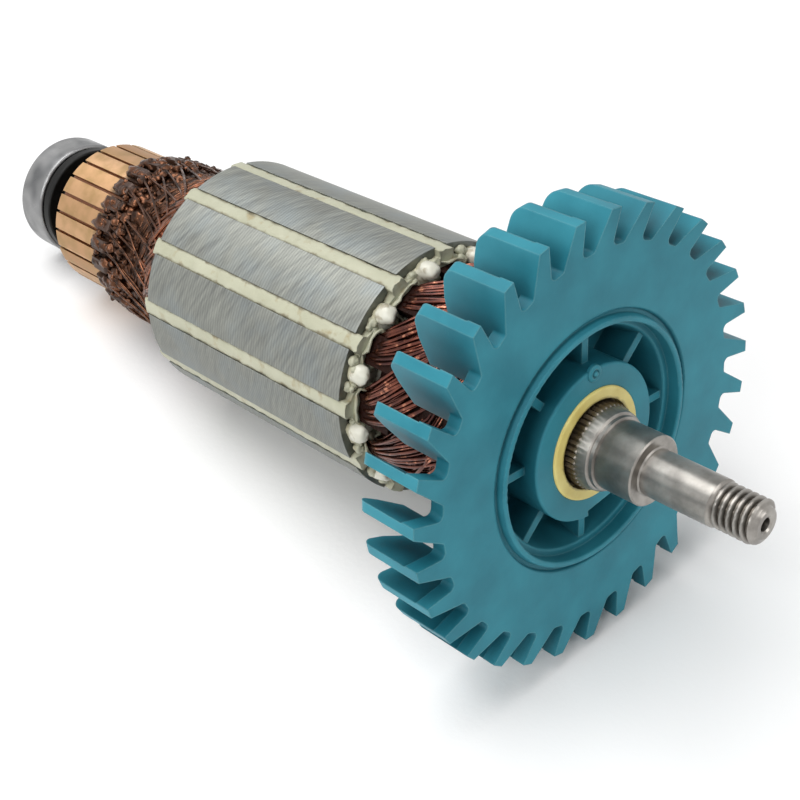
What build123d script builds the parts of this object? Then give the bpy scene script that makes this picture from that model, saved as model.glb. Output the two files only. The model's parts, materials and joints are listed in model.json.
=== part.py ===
# Armature of an angle grinder's motor, built up piece by piece on its shaft.
# Every piece is made round a shaft that lies along +X, with stations counted from the commutator end.
# At the end the armature is laid down on its fan and its rear bearing, as it rests on a table.
from build123d import *
import math
import os

# Driving dimensions are in millimetres, and angles in degrees from +Y towards +Z.

# Shaft
end_overhang = 0.8
collar_radius = 4.2
shaft_radius = 5.0
knurl_radius = 5.6
knurl_depth = 0.22
knurl_teeth = 44
knurl_length = 4.6
knurl_reach = 1.3
shoulder_radius = 5.4
shoulder_length = 1.5
shoulder_fall = 0.3
shoulder_chamfer = 0.6
drive_seat_radius = 4.5
drive_seat_length = 5.5
pinion_seat_radius = 3.0
pinion_seat_length = 9.7
thread_radius = 2.85
thread_length = 6.2
thread_relief_radius = 2.45
thread_relief_length = 0.5
tip_radius = 1.7
tip_length = 0.9
centre_hole_radius = 0.85
centre_hole_depth = 2.2
edge_break = 0.3

# Rear ball bearing
bearing_bore_radius = 3.5
bearing_outer_radius = 9.5
bearing_width = 6.0
bearing_corner = 0.4
inner_ring_radius = 5.25
outer_ring_bore = 7.9
ball_radius = 1.9
ball_count = 7
race_gap = 0.08
cage_width = 4.5
cage_thickness = 0.9
seal_thickness = 0.4
seal_recess = 0.2

# Insulating washer between bearing and commutator
washer_length = 7.6
washer_flange_radius = 9.2
washer_flange_thickness = 1.8
washer_hub_radius = 6.8
washer_nose_radius = 5.1
washer_nose_length = 0.4

# Commutator
bar_count = 24
bar_angle = 10.2
bar_length = 16.0
bar_outer_radius = 11.7
bar_inner_radius = 8.0
bar_gap = 0.5
gap_undercut = 0.6
moulding_lip_length = 0.8
moulding_lip_radius = 10.6
moulding_nose_length = 3.4
moulding_nose_radius = 9.6
hook_length = 4.2
hook_height = 1.3
hook_width = 1.9
hook_root = 0.4

# Laminated core and its slots
slot_count = 12
slot_angle = -9.8
core_radius = 17.5
core_length = 42.0
core_gap = 18.3
tooth_width = 3.4
slot_mouth = 2.2
slot_lip = 1.1
slot_shoulder = 0.5
slot_bottom_radius = 9.9
slot_bottom_rounding = 0.7

# Slot liners and wedges
liner_thickness = 0.25
front_liner_overhang = 2.4
rear_liner_overhang = 1.0
front_wedge_overhang = 2.3
rear_wedge_overhang = 0.9
wedge_recess = 0.3
wedge_foot_gap = 0.12
wedge_bottom_gap = 0.08
wedge_foot = 0.75

# End insulators
front_insulator_thickness = 1.6
rear_insulator_thickness = 0.7
insulator_radius = 16.3
nose_radius = 15.0
front_nose_length = 2.6
rear_nose_length = 0.6
front_nose_rounding = 1.1
rear_nose_rounding = 0.5
nose_width = 2.6
nose_height = 3.0
nose_corner = 1.2

# Winding
head_radius = 13.7
head_neck_radius = 13.2
head_corner = 2.4
front_head_length = 14.6
rear_head_length = 13.5
rear_head_end_radius = 11.4
bundle_radius = 2.3
bundle_turn = 46.0
bundle_rise = 6.0
front_bundle_start = 5.0
rear_bundle_start = 3.2
lead_radius = 0.75
lead_circle_radius = 12.2
lead_turn = 8.0

# Insulating sleeve under core and fan
sleeve_radius = 7.5
sleeve_proud = 0.3
sleeve_mouth_gap = 0.35
sleeve_mouth_depth = 1.2

# Fan
fan_gap = 27.9
blade_count = 31
fan_radius = 30.0
slot_root_radius = 25.5
slot_root_rounding = 0.7
blade_inner_radius = 23.8
blade_depth = 9.6
blade_rear_slant = 0.9
blade_tip_arc = 2.8
blade_lean_arc = 5.9
fin_heel_arc = 1.6
blade_corner = 1.6
disc_thickness = 2.0
lip_height = 0.6
lip_inner_radius = 15.6
lip_width = 1.0
lip_groove_width = 0.6
lip_groove_depth = 0.5
recess_depth = 7.2
recess_floor = 1.4
ledge_depth = 1.9
ledge_width = 0.9
recess_draft = 1.2
fan_hub_radius = 10.45
fan_hub_sink = 0.5
fan_hub_length = 8.6
rib_count = 8
rib_angle = 39.0
rib_thickness = 1.1
rib_sink = 2.4
notch_angle = -87.0
notch_width = 5.0
notch_depth = 1.3

# Clearance of pieces that are pushed or pressed together
fit_gap = 0.02

# Stations along the shaft, from its commutator end
bearing_start = end_overhang
bearing_end = bearing_start + bearing_width
bearing_middle = bearing_start + bearing_width / 2
washer_end = bearing_end + washer_length
bars_start = washer_end + moulding_lip_length
bars_end = bars_start + bar_length
moulding_end = bars_end + moulding_nose_length
core_start = bars_end + core_gap
core_end = core_start + core_length
rear_head_start = core_start - rear_insulator_thickness
front_head_start = core_end + front_insulator_thickness
fan_front = core_end + fan_gap
disc_front = fan_front - lip_height
hub_front = fan_front - fan_hub_sink
sleeve_end = hub_front + sleeve_proud
knurl_end = sleeve_end + knurl_reach
knurl_start = knurl_end - knurl_length
shoulder_end = knurl_end + shoulder_length
drive_seat_start = shoulder_end + shoulder_chamfer
drive_seat_end = drive_seat_start + drive_seat_length
pinion_seat_end = drive_seat_end + pinion_seat_length
thread_end = pinion_seat_end + thread_length
shaft_end = thread_end

# Angles and radii that follow from the others
ball_circle_radius = (inner_ring_radius + outer_ring_bore) / 2
slot_pitch = 360 / slot_count
bar_pitch = 360 / bar_count
blade_pitch = 360 / blade_count
blade_angle = -90 + blade_pitch / 2
slot_top_radius = core_radius - slot_lip
wedge_bottom_radius = slot_top_radius - slot_shoulder - wedge_foot


def outline(corners):
    """Closed face through corners (a, b), each with an optional third value, its rounding radius."""
    points = [corner[:2] for corner in corners]
    roundings = [corner[2] if len(corner) > 2 else 0 for corner in corners]
    return make_face(FilletPolyline(*points, radius=roundings, close=True))


def turned(*corners):
    """Piece turned about the shaft's axis, from (station, radius, rounding) corners."""
    return revolve(Plane.XZ * outline(corners), Axis.X)


def across(station):
    """Plane square to the shaft, with its first direction along +Y and its second along +Z."""
    return Plane(origin=(station, 0, 0), x_dir=(0, 1, 0), z_dir=(1, 0, 0))


def prism(corners, start, end):
    """Bar along the shaft from one station to another, from corners seen along the shaft."""
    return extrude(across(start) * outline(corners), end - start)


def polar(radius, angle):
    """Point at an angle round the shaft, in degrees from +Y."""
    return (radius * math.cos(math.radians(angle)), radius * math.sin(math.radians(angle)))


def around(piece, count, first_angle):
    """Evenly spaced copies of a piece round the shaft."""
    return [Rot(X=first_angle + i * 360 / count) * piece for i in range(count)]


def shaft():
    """Turned steel shaft with a knurled stretch, two seats, a threaded end and a centre hole."""
    bar = turned(
        (0, 0),
        (0, bearing_bore_radius - edge_break),
        (edge_break, bearing_bore_radius),
        (bearing_end, bearing_bore_radius),
        (bearing_end, collar_radius),
        (washer_end, collar_radius),
        (washer_end, shaft_radius),
        (knurl_end, shaft_radius),
        (knurl_end, shoulder_radius),
        (shoulder_end, shoulder_radius - shoulder_fall),
        (drive_seat_start, drive_seat_radius + edge_break),
        (drive_seat_start, drive_seat_radius),
        (drive_seat_end - edge_break, drive_seat_radius),
        (drive_seat_end, drive_seat_radius - edge_break),
        (drive_seat_end, pinion_seat_radius),
        (pinion_seat_end, pinion_seat_radius),
        (pinion_seat_end, thread_relief_radius),
        (pinion_seat_end + thread_relief_length, thread_relief_radius),
        (pinion_seat_end + thread_relief_length, thread_radius),
        (thread_end - tip_length, thread_radius, tip_length / 2),
        (thread_end, tip_radius, edge_break / 2),
        (thread_end, 0),
    )
    teeth = []
    for i in range(knurl_teeth):
        teeth.append(polar(knurl_radius, (i - 0.25) * 360 / knurl_teeth))
        teeth.append(polar(knurl_radius - knurl_depth, (i + 0.25) * 360 / knurl_teeth))
    knurl = prism(teeth, knurl_start, knurl_end)
    hole = turned(
        (shaft_end + edge_break, 0),
        (shaft_end + edge_break, centre_hole_radius + edge_break),
        (shaft_end, centre_hole_radius + edge_break),
        (shaft_end - edge_break, centre_hole_radius),
        (shaft_end - centre_hole_depth + centre_hole_radius, centre_hole_radius),
        (shaft_end - centre_hole_depth, 0),
    )
    return bar + knurl - hole


def insulating_sleeve():
    """Moulded tube that keeps the shaft apart from core and fan, its end flush with the fan's hub."""
    bore = shaft_radius + fit_gap
    knurl_bore = knurl_radius + fit_gap
    return turned(
        (moulding_end, bore),
        (moulding_end, sleeve_radius),
        (sleeve_end, sleeve_radius, edge_break),
        (sleeve_end, knurl_radius + sleeve_mouth_gap),
        (sleeve_end - sleeve_mouth_depth, knurl_radius + sleeve_mouth_gap),
        (sleeve_end - sleeve_mouth_depth, knurl_bore),
        (knurl_start, knurl_bore),
        (knurl_start, bore),
    )


def race_groove():
    """Ring-shaped track of the balls, to be cut from both bearing rings."""
    section = Pos(bearing_middle, ball_circle_radius) * Circle(ball_radius + race_gap)
    return revolve(Plane.XZ * section, Axis.X)


def bearing_inner_ring():
    bore = bearing_bore_radius + fit_gap
    ring = turned(
        (bearing_start, bore, edge_break / 2),
        (bearing_start, inner_ring_radius, edge_break / 2),
        (bearing_end, inner_ring_radius, edge_break / 2),
        (bearing_end, bore, edge_break / 2),
    )
    return ring - race_groove()


def bearing_outer_ring():
    ring = turned(
        (bearing_start, outer_ring_bore),
        (bearing_start, bearing_outer_radius, bearing_corner),
        (bearing_end, bearing_outer_radius, bearing_corner),
        (bearing_end, outer_ring_bore),
    )
    return ring - race_groove()


def bearing_seal(outer_face, inward):
    """Rubber seal held in the outer ring and clear of the inner ring. inward is +1 or -1 along the shaft."""
    start = outer_face + inward * seal_recess
    end = start + inward * seal_thickness
    lip = inner_ring_radius + race_gap
    rim = outer_ring_bore - fit_gap
    return turned((start, lip), (start, rim), (end, rim), (end, lip))


def bearing_balls():
    ball = Pos(bearing_middle, ball_circle_radius, 0) * Sphere(ball_radius)
    return around(ball, ball_count, 0)


def bearing_cage():
    """Ring between the two races with a round pocket for each ball."""
    inside = ball_circle_radius - cage_thickness / 2
    outside = ball_circle_radius + cage_thickness / 2
    start = bearing_middle - cage_width / 2
    end = bearing_middle + cage_width / 2
    ring = turned((start, inside), (start, outside), (end, outside), (end, inside))
    pocket = Pos(bearing_middle, ball_circle_radius, 0) * Rot(X=-90) * Cylinder(ball_radius + race_gap, 2 * ball_radius)
    return ring - around(pocket, ball_count, 0)


def insulating_washer():
    """Black flanged washer: a flange that hides the bearing's seal, and a hub up to the commutator."""
    bore = collar_radius + fit_gap
    flange_start = bearing_end + washer_nose_length
    flange_end = flange_start + washer_flange_thickness
    return turned(
        (bearing_end, bore),
        (bearing_end, washer_nose_radius),
        (flange_start, washer_nose_radius),
        (flange_start, washer_flange_radius, edge_break),
        (flange_end, washer_flange_radius, edge_break),
        (flange_end, washer_hub_radius, edge_break),
        (washer_end, washer_hub_radius),
        (washer_end, bore),
    )


def commutator_moulding():
    """Brown moulded body that carries the bars, with a thin fin in each gap between two of them."""
    bore = shaft_radius + fit_gap
    seat = bar_inner_radius - fit_gap
    body = turned(
        (washer_end, bore),
        (washer_end, moulding_lip_radius, edge_break),
        (bars_start - fit_gap, moulding_lip_radius),
        (bars_start - fit_gap, seat),
        (bars_end + fit_gap, seat),
        (bars_end + fit_gap, moulding_nose_radius),
        (moulding_end, moulding_nose_radius),
        (moulding_end, bore),
    )
    half = bar_gap / 2 - fit_gap
    top = bar_outer_radius - gap_undercut
    foot = seat - edge_break
    fin = prism([(foot, -half), (top, -half), (top, half), (foot, half)], bars_start - 2 * fit_gap, bars_end)
    return body + around(fin, bar_count, bar_angle + bar_pitch / 2)


def commutator_bar():
    """One copper segment, centred on +Y, with its hook bent back over the lead at the core end."""
    def edge_point(radius, side):
        half_angle = bar_pitch / 2 - math.degrees(math.asin(bar_gap / 2 / radius))
        return polar(radius, side * half_angle)

    section = make_face([
        Line(edge_point(bar_inner_radius, -1), edge_point(bar_outer_radius, -1)),
        ThreePointArc(edge_point(bar_outer_radius, -1), (bar_outer_radius, 0), edge_point(bar_outer_radius, 1)),
        Line(edge_point(bar_outer_radius, 1), edge_point(bar_inner_radius, 1)),
        ThreePointArc(edge_point(bar_inner_radius, 1), (bar_inner_radius, 0), edge_point(bar_inner_radius, -1)),
    ])
    bar = extrude(across(bars_start) * section, bar_length)
    hook_top = bar_outer_radius + hook_height
    hook_start = bars_end - hook_length
    hook_side = outline([
        (bars_end, bar_outer_radius - hook_root),
        (bars_end, hook_top, hook_height / 2),
        (hook_start, hook_top - hook_height / 4, hook_height / 3),
        (hook_start, bar_outer_radius - hook_root),
    ])
    hook = extrude(Plane.XZ * hook_side, hook_width / 2, both=True)
    return bar + Rot(X=-90) * hook


def slot_half_width(radius):
    """Half width of a slot at a radius, where the teeth between the slots have parallel sides."""
    half_pitch = math.pi / slot_count
    return radius * math.tan(half_pitch) - tooth_width / 2 / math.cos(half_pitch)


def slot_corners(top, inset, rounding):
    """Corners of a slot's section, centred on +Y, set in from the slot's walls by inset."""
    side_inset = inset / math.cos(math.pi / slot_count)
    bottom = slot_bottom_radius + inset
    bottom_half = slot_half_width(bottom) - side_inset
    top_half = slot_half_width(top) - side_inset
    return [(bottom, -bottom_half, rounding), (top, -top_half), (top, top_half), (bottom, bottom_half, rounding)]


def core_stack():
    """Pressed stack of laminations, with the slots open at the rim between two lips."""
    mouth = slot_mouth / 2
    shoulder = slot_top_radius - slot_shoulder
    beyond = core_radius + slot_lip
    bottom = slot_half_width(slot_bottom_radius)
    slot = prism(
        [
            (slot_bottom_radius, -bottom, slot_bottom_rounding),
            (shoulder, -slot_half_width(shoulder)),
            (slot_top_radius, -mouth),
            (beyond, -mouth),
            (beyond, mouth),
            (slot_top_radius, mouth),
            (shoulder, slot_half_width(shoulder)),
            (slot_bottom_radius, bottom, slot_bottom_rounding),
        ],
        core_start,
        core_end,
    )
    bore = sleeve_radius + fit_gap
    stack = turned((core_start, bore), (core_start, core_radius), (core_end, core_radius), (core_end, bore))
    return stack - around(slot, slot_count, slot_angle)


def slot_liners():
    """Folded insulating paper in each slot, standing out at both ends of the core."""
    start = core_start - rear_liner_overhang
    end = core_end + front_liner_overhang
    top = wedge_bottom_radius - fit_gap
    outside = prism(slot_corners(top, fit_gap, slot_bottom_rounding), start, end)
    inset = fit_gap + liner_thickness
    inside = prism(slot_corners(core_radius, inset, slot_bottom_rounding - liner_thickness), start, end)
    return around(outside - inside, slot_count, slot_angle)


def slot_wedge():
    """Cream strip that closes a slot: a foot held under the two lips and a rib that fills the mouth."""
    mouth = slot_mouth / 2 - fit_gap
    foot_top = slot_top_radius - slot_shoulder - fit_gap
    foot = slot_half_width(foot_top) - wedge_foot_gap
    bottom_half = slot_half_width(wedge_bottom_radius) - wedge_bottom_gap
    top = core_radius - wedge_recess
    rib_foot = slot_top_radius - fit_gap
    return prism(
        [
            (wedge_bottom_radius, -bottom_half),
            (foot_top, -foot),
            (rib_foot, -mouth),
            (top, -mouth),
            (top, mouth),
            (rib_foot, mouth),
            (foot_top, foot),
            (wedge_bottom_radius, bottom_half),
        ],
        core_start - rear_wedge_overhang,
        core_end + front_wedge_overhang,
    )


def end_insulator(face, outward, thickness, nose_length, rounding):
    """Moulded star at one end of the core, with a rounded nose on each arm. outward is +1 or -1."""
    bore = sleeve_radius + fit_gap
    outer = face + outward * thickness
    plate = turned((face, bore), (face, insulator_radius), (outer, insulator_radius), (outer, bore))
    cut = prism(slot_corners(core_radius, 0, slot_bottom_rounding), min(face, outer), max(face, outer))
    width = nose_width / 2
    height = nose_height / 2
    section = outline([
        (nose_radius - height, -width, nose_corner),
        (nose_radius + height, -width, nose_corner),
        (nose_radius + height, width, nose_corner),
        (nose_radius - height, width, nose_corner),
    ])
    base = Plane(origin=(outer, 0, 0), x_dir=(0, 1, 0), z_dir=(outward, 0, 0))
    nose = extrude(base * section, nose_length)
    tip = nose.faces().sort_by(Axis((0, 0, 0), (outward, 0, 0)))[-1]
    nose = fillet(tip.edges(), rounding)
    return (
        plate
        - around(cut, slot_count, slot_angle)
        + around(nose, slot_count, slot_angle + slot_pitch / 2)
    )


def slot_coil_sides():
    """Copper that fills each slot, from one coil head to the other."""
    inset = 2 * fit_gap + liner_thickness
    top = wedge_bottom_radius - 2 * fit_gap
    side = prism(
        slot_corners(top, inset, slot_bottom_rounding - liner_thickness),
        rear_head_start,
        front_head_start,
    )
    return around(side, slot_count, slot_angle)


def capsule(first, second, radius):
    """Round bar with round ends between two points."""
    path = Line(first, second)
    bar = extrude(Plane(origin=first, z_dir=path % 0) * Circle(radius), path.length)
    return bar + Pos(*first) * Sphere(radius) + Pos(*second) * Sphere(radius)


def coil_head(start, outward, length, end_radius, free_of_liners, bundle_start):
    """Coil ends at one end of the core: slot bundles that bend over and cross to the next slots."""
    bore = sleeve_radius + fit_gap
    neck_end = start + outward * bundle_start
    shoulder = start + outward * (bundle_start + bundle_rise)
    end = start + outward * length
    clear_of_liners = start + outward * free_of_liners
    body = turned(
        (start, bore),
        (start, slot_bottom_radius - fit_gap),
        (clear_of_liners, slot_bottom_radius - fit_gap),
        (clear_of_liners, head_neck_radius),
        (neck_end, head_neck_radius),
        (neck_end + outward * head_corner / 2, head_radius, head_corner / 2),
        (shoulder, head_radius, head_corner),
        (end, end_radius, head_corner / 2),
        (end, bore),
    )
    inset = 2 * fit_gap + liner_thickness
    top = wedge_bottom_radius - 2 * fit_gap
    first = start
    last = start + outward * bundle_start
    lobe = prism(
        slot_corners(top, inset, slot_bottom_rounding - liner_thickness),
        min(first, last),
        max(first, last),
    )
    reach = top - bundle_radius
    foot = (last, reach, 0)
    y, z = polar(reach - bundle_radius / 3, -outward * bundle_turn)
    bundle = capsule(foot, (last + outward * bundle_rise, y, z), bundle_radius)
    return body + around(lobe, slot_count, slot_angle) + around(bundle, slot_count, slot_angle)


def front_coil_head():
    """Coil head at the fan end."""
    free_of_liners = front_liner_overhang - front_insulator_thickness + fit_gap
    return coil_head(
        front_head_start, 1, front_head_length, head_neck_radius, free_of_liners, front_bundle_start
    )


def rear_coil_head():
    """Coil head at the commutator end, with the leads that run on to the hooks."""
    free_of_liners = rear_liner_overhang - rear_insulator_thickness + fit_gap
    head = coil_head(
        rear_head_start, -1, rear_head_length, rear_head_end_radius, free_of_liners, rear_bundle_start
    )
    first = (bars_end + fit_gap, lead_circle_radius, 0)
    y, z = polar(lead_circle_radius, lead_turn)
    second = (rear_head_start - rear_bundle_start, y, z)
    path = Line(first, second)
    lead = extrude(Plane(origin=first, z_dir=path % 0) * Circle(lead_radius), path.length)
    square_end = Pos(bars_end - lead_radius, 0, 0) * Rot(Y=90) * Cylinder(
        core_radius, 2 * (lead_radius + fit_gap)
    )
    return head + around(lead - square_end, bar_count, bar_angle)


def fan():
    """Moulded fan: slotted disc with leaning blades behind it, raised lip, stepped recess and hub."""
    def at(depth):
        return fan_front - depth

    disc_rear = lip_height + disc_thickness
    lip_outer = lip_inner_radius + lip_width
    groove_outer = lip_outer + lip_groove_width
    groove = lip_height + lip_groove_depth
    ledge = lip_inner_radius - ledge_width
    floor_outer = ledge - recess_draft
    floor_rear = recess_depth + recess_floor
    hub_rear = fan_hub_sink + fan_hub_length
    bore = sleeve_radius + fit_gap
    disc = turned(
        (at(lip_height), fan_radius),
        (at(lip_height), groove_outer, edge_break),
        (at(groove), groove_outer - lip_groove_width / 4),
        (at(groove), lip_outer),
        (at(0), lip_outer - edge_break, lip_width / 4),
        (at(0), lip_inner_radius, lip_width / 4),
        (at(ledge_depth), lip_inner_radius),
        (at(ledge_depth), ledge, edge_break),
        (at(recess_depth), floor_outer, edge_break),
        (at(recess_depth), fan_hub_radius),
        (at(fan_hub_sink), fan_hub_radius, edge_break),
        (at(fan_hub_sink), bore),
        (at(hub_rear), bore),
        (at(hub_rear), fan_hub_radius, edge_break),
        (at(floor_rear), fan_hub_radius),
        (at(floor_rear), floor_outer + recess_floor),
        (at(disc_rear), groove_outer + recess_floor / 2),
        (at(disc_rear), fan_radius),
    )

    half_tip = blade_tip_arc / 2
    lean_root = half_tip + blade_lean_arc
    heel_root = -half_tip + fin_heel_arc
    beyond = 2 * fan_radius - slot_root_radius
    slot = prism(
        [
            polar(beyond, -half_tip - fin_heel_arc),
            polar(slot_root_radius, heel_root) + (slot_root_rounding,),
            polar(slot_root_radius, lean_root - blade_pitch) + (slot_root_rounding,),
            polar(beyond, half_tip - blade_lean_arc - blade_pitch),
        ],
        at(disc_rear) - disc_thickness,
        at(0),
    )

    tip_y, tip_z = polar(fan_radius, half_tip)
    root_y, root_z = polar(slot_root_radius, lean_root)
    run = math.hypot(root_y - tip_y, root_z - tip_z)
    stretch = (fan_radius - blade_inner_radius) / (fan_radius - slot_root_radius)
    inner_y = tip_y + (root_y - tip_y) * stretch
    inner_z = tip_z + (root_z - tip_z) * stretch
    far_y, far_z = polar(fan_radius, -half_tip)
    plate = prism(
        [
            (tip_y + run, tip_z - run * (root_z - tip_z) / (tip_y - root_y)),
            (inner_y, inner_z),
            (inner_y + far_y - tip_y, inner_z + far_z - tip_z),
            (far_y + run, far_z - run * (root_z - tip_z) / (tip_y - root_y)),
        ],
        at(lip_height + blade_depth),
        at(lip_height),
    )
    rear = lip_height + blade_depth
    envelope = turned(
        (at(lip_height), blade_inner_radius / 2),
        (at(lip_height), fan_radius),
        (at(rear), fan_radius, blade_corner),
        (at(rear), fan_radius - 2 * blade_corner),
        (at(rear - blade_rear_slant), blade_inner_radius),
        (at(rear - blade_rear_slant), blade_inner_radius / 2),
    )
    blade = plate & envelope

    rib = prism(
        [
            (fan_hub_radius - edge_break, -rib_thickness / 2),
            (ledge, -rib_thickness / 2),
            (ledge, rib_thickness / 2),
            (fan_hub_radius - edge_break, rib_thickness / 2),
        ],
        at(recess_depth + recess_floor / 2),
        at(rib_sink),
    )
    notch = prism(
        [
            (fan_hub_radius - notch_depth, -notch_width / 2),
            (fan_hub_radius + notch_depth, -notch_width / 2),
            (fan_hub_radius + notch_depth, notch_width / 2),
            (fan_hub_radius - notch_depth, notch_width / 2),
        ],
        at(rib_sink),
        at(0),
    )
    return (
        disc
        - around(slot, blade_count, blade_angle)
        + around(blade, blade_count, blade_angle)
        + around(rib, rib_count, rib_angle)
        - Rot(X=notch_angle) * notch
    )


def rest_tilt():
    """Angle between the shaft and a table under the fan's blades and the bearing's rear edge."""
    nearest_tip_edge = blade_pitch / 2 - blade_tip_arc / 2
    fan_station = disc_front - blade_depth + blade_corner
    fan_drop = (fan_radius - blade_corner) * math.cos(math.radians(nearest_tip_edge))
    bearing_station = bearing_start + bearing_corner
    bearing_drop = bearing_outer_radius - bearing_corner
    run = fan_station - bearing_station
    fall = fan_drop - bearing_drop
    return math.degrees(math.atan2(fall, run) + math.asin((blade_corner - bearing_corner) / math.hypot(run, fall)))


def all_nodes():
    """Every piece by name, on a shaft along +X. A node of several like solids is a list."""
    nodes = {
        "shaft": shaft(),
        "insulating_sleeve": insulating_sleeve(),
        "core_stack": core_stack(),
        "front_end_insulator": end_insulator(
            core_end, 1, front_insulator_thickness, front_nose_length, front_nose_rounding
        ),
        "rear_end_insulator": end_insulator(
            core_start, -1, rear_insulator_thickness, rear_nose_length, rear_nose_rounding
        ),
        "slot_liners": slot_liners(),
        "slot_coil_sides": slot_coil_sides(),
        "front_coil_head": front_coil_head(),
        "rear_coil_head": rear_coil_head(),
        "commutator_moulding": commutator_moulding(),
        "insulating_washer": insulating_washer(),
        "fan": fan(),
        "bearing_inner_ring": bearing_inner_ring(),
        "bearing_outer_ring": bearing_outer_ring(),
        "bearing_seal_outboard": bearing_seal(bearing_start, 1),
        "bearing_seal_inboard": bearing_seal(bearing_end, -1),
        "bearing_cage": bearing_cage(),
        "bearing_balls": bearing_balls(),
    }
    for i, wedge in enumerate(around(slot_wedge(), slot_count, slot_angle)):
        nodes[f"slot_wedge_{i + 1:02d}"] = wedge
    for i, bar in enumerate(around(commutator_bar(), bar_count, bar_angle)):
        nodes[f"commutator_bar_{i + 1:02d}"] = bar
    return nodes


def as_one(piece):
    return Compound(piece) if isinstance(piece, list) else piece


def placement(nodes):
    """Move that lays the armature down, with the origin under the middle of its box."""
    tilted = Rot(Y=-rest_tilt())
    box = Compound([tilted * as_one(piece) for piece in nodes.values()]).bounding_box()
    return Pos(-box.center().X, -box.center().Y, -box.min.Z) * tilted


os.makedirs("parts", exist_ok=True)
node_pieces = all_nodes()
laid_down = placement(node_pieces)
for name, piece in node_pieces.items():
    export_step(laid_down * as_one(piece), f"parts/{name}.step")
print(f"{len(node_pieces)} nodes, shaft length {shaft_end:.1f} mm, tilt at rest {rest_tilt():.2f} degrees")
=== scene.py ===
# %% [markdown]
# This notebook dresses the armature of an angle grinder: the part of the motor that spins.
# The solid pieces come from the frame at their real size and place, and nothing here moves them.
# What Blender adds is what the solids leave out: every wire, the turns of the thread, the knurl,
# the varnish, and a finish for each surface that behaves as the real one does in light.

# %% Load the frame
import json
import math
import random
import bpy
from mathutils import Matrix, Vector, noise


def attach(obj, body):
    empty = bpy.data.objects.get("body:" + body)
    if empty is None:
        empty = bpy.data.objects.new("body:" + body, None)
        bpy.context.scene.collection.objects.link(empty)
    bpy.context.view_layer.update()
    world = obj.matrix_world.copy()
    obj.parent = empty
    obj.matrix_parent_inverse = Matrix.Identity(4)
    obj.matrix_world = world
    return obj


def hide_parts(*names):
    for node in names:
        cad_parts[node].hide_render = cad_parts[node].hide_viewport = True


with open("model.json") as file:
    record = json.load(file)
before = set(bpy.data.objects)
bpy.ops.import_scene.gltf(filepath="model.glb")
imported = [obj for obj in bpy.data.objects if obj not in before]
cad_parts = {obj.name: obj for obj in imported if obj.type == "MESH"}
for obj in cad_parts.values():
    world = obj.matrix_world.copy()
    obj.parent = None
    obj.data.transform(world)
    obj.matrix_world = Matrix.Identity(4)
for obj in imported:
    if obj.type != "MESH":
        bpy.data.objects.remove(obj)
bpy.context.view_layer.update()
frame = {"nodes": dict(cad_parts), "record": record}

nodes = frame["nodes"]

# %% [markdown]
# The armature lies on its fan and its rear bearing, so its shaft is not level. It is easier to think
# of it on a lathe: x runs along the shaft from the commutator's end, and an angle goes round it. The
# rear bearing's mount says where the shaft is, and one matrix leads from that bench to the table.

# %% The bench: a shaft along x, in millimetres
mm = 0.001
rear_bearing_x = 3.8
mounts = {mount["name"]: mount for mount in frame["record"]["mounts"]}
shaft_way = Vector(mounts["drive_bearing_seat"]["axis"])
across = Vector((0, 1, 0))
upward = shaft_way.cross(across)
shaft_zero = Vector(mounts["rear_bearing_ring"]["pos_m"]) - shaft_way * rear_bearing_x * mm
bench_turn = Matrix((shaft_way, across, upward)).transposed()
bench = Matrix.Translation(shaft_zero) @ bench_turn.to_4x4() @ Matrix.Scale(mm, 4)
print("the shaft rises", round(math.degrees(math.asin(shaft_way.z)), 2), "degrees")


def polar(x, radius, angle):
    """Point at a station, a radius and an angle in degrees from +y towards +z, on the bench."""
    turn = math.radians(angle)
    return Vector((x, radius * math.cos(turn), radius * math.sin(turn)))


# %% What repeats round the shaft, and where the core is
slot_count = 12
slot_step = 360 // slot_count
slot_angles = [-9.8 + slot_step * i for i in range(slot_count)]
bar_count = 24
bar_step = 360 // bar_count
bar_angles = [10.2 + bar_step * i for i in range(bar_count)]
core_start = 49.5
core_end = 91.5
core_radius = 17.5
print("a slot every", slot_step, "degrees, and a bar every", bar_step)

# %% [markdown]
# The camera stands where the photographer's did. Its direction is an azimuth and an elevation on the
# bench, and its place follows from where the middle of the fan's face is seen: so far to the right,
# so far below the middle of the picture, and so far away.

# %% Camera
camera_azimuth = 51.71
camera_elevation = 34.0
camera_roll = -8.25
focal_length = 69.93
fan_face_x = 119.4
fan_right = 0.0240
fan_below = 0.0054
fan_away = 0.1882


def outward(azimuth, elevation):
    """Direction away from the armature, from two angles in degrees."""
    side = math.radians(azimuth)
    height = math.radians(elevation)
    level = math.cos(height)
    return Vector((math.sin(side) * level, -math.cos(side) * level, math.sin(height)))


roll = Matrix.Rotation(math.radians(camera_roll), 3, "Z")
facing = outward(camera_azimuth, camera_elevation).to_track_quat("Z", "Y").to_matrix()
camera_turn = bench_turn @ facing @ roll
camera_data = bpy.data.cameras.new("camera")
camera_data.lens = focal_length
camera_data.sensor_width = 36
camera_data.clip_start = 0.01
camera = bpy.data.objects.new("camera", camera_data)
bpy.context.collection.objects.link(camera)
camera.rotation_mode = "QUATERNION"
camera.rotation_quaternion = camera_turn.to_quaternion()
fan_seen = Vector((fan_right, -fan_below, -fan_away))
camera.location = bench @ Vector((fan_face_x, 0, 0)) - camera_turn @ fan_seen
bpy.context.scene.camera = camera
print("camera at", [round(v, 3) for v in camera.location])

# %% [markdown]
# Colours are written as a painter's hex values. Blender calculates in linear light, so one function
# turns them. A finish is a tree of nodes that ends in one shader. One small function adds a node
# with its links and settings, and the world at the end is built with it too.

# %% Colours and nodes


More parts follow.
